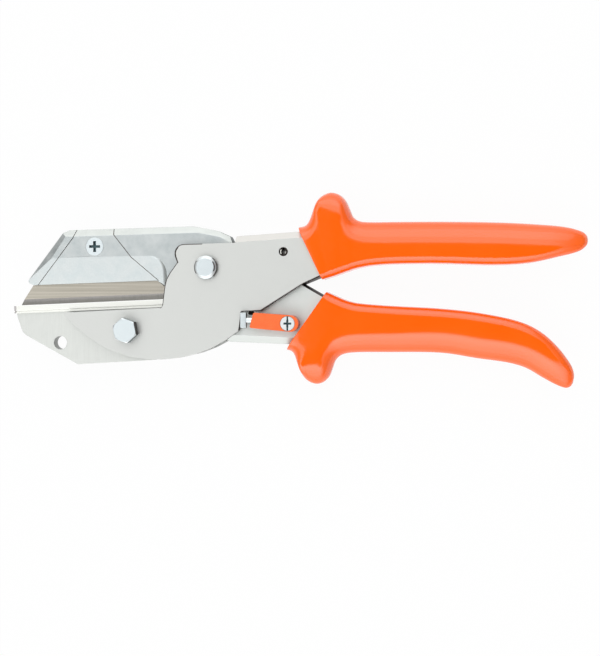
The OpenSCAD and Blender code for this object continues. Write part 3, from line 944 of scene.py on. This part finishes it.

# Where wall is below 1 the side walls get painted shade, chamfer colours are painted highlight and shade, and the
# lines are painted shade, or in the pin's bore a painted highlight
FINISHES: dict[str, Metal | Plastic] = {
    # Satin frame with painted shade on its side walls, a painted highlight on its chamfers, and painted shade in the
    # seams round the front cheek
    "frame": Metal(
        "satin_frame", (0.638, 0.65, 0.632), (0.664, 0.678, 0.658), (0.5, 0.56), Grain.BLASTED, 5200.0, 0.006 * MM,
        wall=0.4, painted_chamfer_light=(0.73, 0.72, 0.69), shade_and_glint_lines=(CHEEK_SEAM_SHADE, CHEEK_EAR_SHADE, CHEEK_DIAGONAL_SHADE),
        fade=(0.2 * MM, 0.45 * MM)),
    "carrier": Metal(
        "ground_carrier", (0.62, 0.637, 0.613), (0.7, 0.718, 0.692), (0.42, 0.5), Grain.GROUND_ACROSS, 3000.0,
        0.006 * MM, wall=0.5),
    # Darker near colours: painted shade on the left end of the anvil strip
    "anvil": TwoToneMetal(
        "bright_anvil", (0.38, 0.36, 0.36), (0.46, 0.44, 0.44), (0.34, 0.42), Grain.GROUND_ALONG, 2600.0, 0.004 * MM,
        far_dark=(0.783, 0.792, 0.75), far_light=(0.818, 0.827, 0.785), far_gloss=0.38,
        change=(-127.9 * MM, -127.2 * MM)),
    "arm": ARM,
    # Painted shade in the seams between the clamp and the jaw
    "clamp": replace(
        ARM, name="clamped_zinc", shade_and_glint_lines=CLAMP_SEAM_SHADE, fade=(0.1 * MM, 0.25 * MM), shade_and_glint_colour=(0.14, 0.12, 0.105)),
    "blade": Metal(
        "ground_blade", (0.347, 0.325, 0.274), (0.52, 0.488, 0.425), (0.34, 0.44), Grain.GROUND_ALONG, 1100.0,
        0.006 * MM, cloudy=0.15, wall=0.4),
    "cutting_edge": Metal(
        "honed_edge", (0.2, 0.195, 0.19), (0.26, 0.25, 0.24), (0.3, 0.38), Grain.GROUND_ACROSS, 4000.0, 0.003 * MM),
    "zinc": ZINC,
    # Painted dark reflections on the rim of the pivot's head
    "pivot": replace(
        ZINC, name="pivot_zinc", shade_and_glint_lines=PIVOT_RIM_REFLECTION, fade=(0.12 * MM, 0.3 * MM), shade_and_glint_colour=(0.1, 0.09, 0.085)),
    "nickel": Metal(
        "bright_nickel", (0.78, 0.83, 0.84), (0.85, 0.9, 0.91), (0.36, 0.44), Grain.BLASTED, 3000.0, 0.003 * MM,
        wall=0.4),
    # Painted shade for the faces inside the screws' drive recesses
    "recess": Metal(
        "shaded_zinc", (0.05, 0.09, 0.1), (0.1, 0.15, 0.16), (0.4, 0.5), Grain.BLASTED, 3000.0, 0.003 * MM),
    # Painted highlight in the spring pin's bore
    "spring": Metal(
        "oiled_spring_steel", (0.03, 0.024, 0.02), (0.06, 0.05, 0.045), (0.6, 0.75), Grain.BLASTED, 4000.0,
        0.004 * MM, shade_and_glint_lines=(PIN_BORE_HIGHLIGHT,), fade=(0.25 * MM, 0.45 * MM), shade_and_glint_colour=(0.85, 0.86, 0.8)),
    "brass": Metal(
        "turned_brass", (0.6, 0.44, 0.18), (0.75, 0.58, 0.28), (0.26, 0.36), Grain.BLASTED, 3000.0, 0.004 * MM),
    "grip": Plastic(
        "glossy_orange", (1.0, 0.123, 0.0), (1.0, 0.13, 0.002), (0.08, 0.12), 0.85, 60.0, 0.02 * MM),
    # Side walls of the latch lever painted darker as shade
    "latch": Plastic(
        "moulded_orange", (0.91, 0.13, 0.012), (0.95, 0.15, 0.018), (0.26, 0.34), 0.72, 300.0, 0.01 * MM, wall=0.55),
}

CRISP = Edge(0.04 * MM)
FORGED = Edge(0.08 * MM)
FINE = Edge(0.12 * MM)
MOULDED = Edge(0.15 * MM)
SOFT = Edge(0.25 * MM, segments=3, sharper_than=58.0)

ANVIL_SIDE = AnvilSide("anvil_side", {
    "anvil_frame": Dress("frame", "frame_metal", FORGED),
    "upper_grip": Dress("grip", "grip_orange", SOFT),
    "anvil_carrier": Dress("carrier", "carrier_metal", FORGED),
    "anvil_strip": Dress("anvil", "anvil_metal", FINE),
    "anvil_bolt": Dress("zinc", "bright_zinc", FINE),
    "anvil_nut": Dress("zinc", "bright_zinc", FINE),
    "pivot_bolt": Dress("pivot", "bright_zinc", FINE),
    "pivot_washer": Dress("zinc", "bright_zinc", FINE),
    "pivot_nut": Dress("zinc", "bright_zinc", FINE),
    "spring_pin": Dress("spring", "spring_steel", FINE),
    "return_spring": Dress("spring", "spring_steel", FINE),
})

BLADE_SIDE = BladeSide("blade_side", {
    "blade_arm": Dress("arm", "arm_metal", FORGED),
    "pivot_bush": Dress("brass", "bush_brass"),
    "thrust_washers": Dress("brass", "bush_brass"),
    "blade": Dress("blade", "blade_steel", CRISP),
    "blade_clamp": Dress("clamp", "arm_metal", FINE),
    "clamp_screw": Dress("zinc", "bright_zinc", FINE),
    "lower_grip": Dress("grip", "grip_orange", SOFT),
    "latch_screw": Dress("nickel", "bright_zinc", CRISP),
    "latch_washer": Dress("zinc", "bright_zinc"),
}, recesses={
    "clamp_screw": Recess(reach=2.6 * MM, below=(0.15 * MM, 1.8 * MM)),
    "latch_screw": Recess(reach=3.1 * MM, below=(0.1 * MM, 1.5 * MM)),
})

LATCH = SubAssembly("latch", {
    "latch_lever": Dress("latch", "latch_orange", MOULDED),
    "latch_stud": Dress("zinc", "bright_zinc", FINE),
    "latch_bush": Dress("brass", "bush_brass"),
})


def main() -> None:
    """Build the studio and dress each side of the tool in turn."""
    logging.basicConfig(level=logging.INFO, format="%(message)s")
    Studio().build()
    shop = Workshop(FINISHES)
    for side in (ANVIL_SIDE, BLADE_SIDE, LATCH):
        side.build(shop)


if __name__ == "__main__":
    main()
